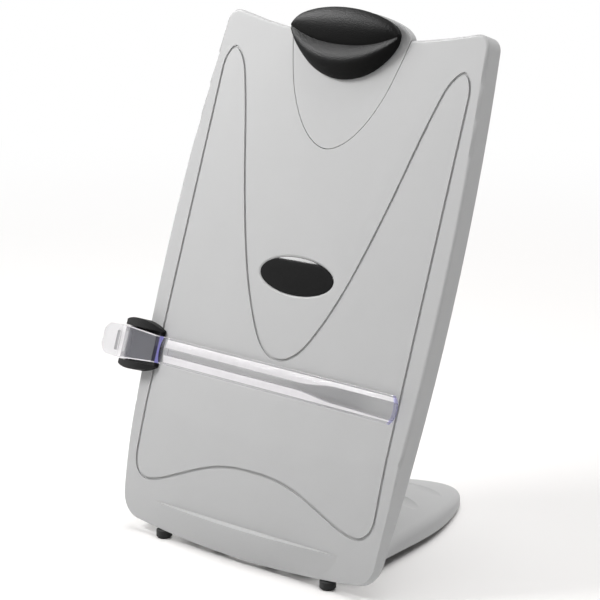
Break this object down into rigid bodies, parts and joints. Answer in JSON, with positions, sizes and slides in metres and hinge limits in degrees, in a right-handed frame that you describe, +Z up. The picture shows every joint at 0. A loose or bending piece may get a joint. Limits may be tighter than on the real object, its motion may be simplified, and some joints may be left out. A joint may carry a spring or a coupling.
{
  "type": "copy holder",
  "caption": "Leaning desk copy holder with a pull-up tongue and page clip, a see-through line guide on a side slider, and a folding tapered base.",
  "frame": {"origin": "on the desk under the middle of the whole object's box, line guide and folded-out base included", "axes": "+Z up, +X to the reader's right along the panel's foot, +Y away from the reader towards the base's tip"},
  "size_m": [0.2498, 0.1884, 0.3184],
  "materials": {
    "grey_shell": "fine even moulded satin",
    "satin_black": "fine pebbled satin",
    "gloss_black": "polished dome",
    "clear_plastic": "polished clear plastic",
    "dark_plastic": "plain moulded",
    "white_plastic": "slick plain",
    "rubber": "soft matte",
    "steel": "plated"
  },
  "bodies": {
    "panel": {"front_shell": "grey_shell", "rear_cover": "grey_shell", "cover_screws": "steel", "badge_insert": "gloss_black", "tongue_track": "dark_plastic", "track_screws": "steel", "detent_spring": "steel", "front_foot_left": "rubber", "front_foot_right": "rubber", "hinge_pins": "steel", "hinge_washers": "white_plastic"},
    "tongue": {"tongue_plate": "grey_shell", "tongue_runner": "dark_plastic", "runner_screws": "steel", "clip_pin": "steel", "clip_spring": "steel"},
    "clip": {"clip_lever": "satin_black", "clip_jaw_pad": "rubber"},
    "slider": {"slider_front": "satin_black", "slider_rear": "satin_black", "slider_screws": "steel", "slider_pad": "rubber", "guide_pin": "steel", "guide_spring": "steel"},
    "guide": {"line_guide": "clear_plastic"},
    "base": {"base_plate": "grey_shell", "base_underside": "satin_black", "base_screws": "steel", "rear_foot_left": "rubber", "rear_foot_right": "rubber"}
  },
  "joints": [
    {"name": "tongue_slide", "type": "slide", "parent": "panel", "child": "tongue", "axis": [0, 0.3206, 0.9472], "range_m": [0, 0.075]},
    {"name": "clip_pivot", "type": "hinge", "parent": "tongue", "child": "clip", "pos_m": [0.01368, -0.00057, 0.30257], "axis": [-1, 0, 0], "range_deg": [0, 12], "stiffness_Nm_per_rad": 0.25, "springref_deg": -14.32, "deforming": ["clip_spring"]},
    {"name": "guide_slide", "type": "slide", "parent": "panel", "child": "slider", "axis": [0, 0.3206, 0.9472], "range_m": [-0.07, 0.16]},
    {"name": "guide_lift", "type": "hinge", "parent": "slider", "child": "guide", "pos_m": [-0.10552, -0.06831, 0.10928], "axis": [0, -0.3206, -0.9472], "range_deg": [0, 15], "stiffness_Nm_per_rad": 0.03, "springref_deg": -17.19},
    {"name": "base_fold", "type": "hinge", "parent": "panel", "child": "base", "pos_m": [0.01368, -0.0725, 0.014], "axis": [1, 0, 0], "range_deg": [0, 71]}
  ]
}
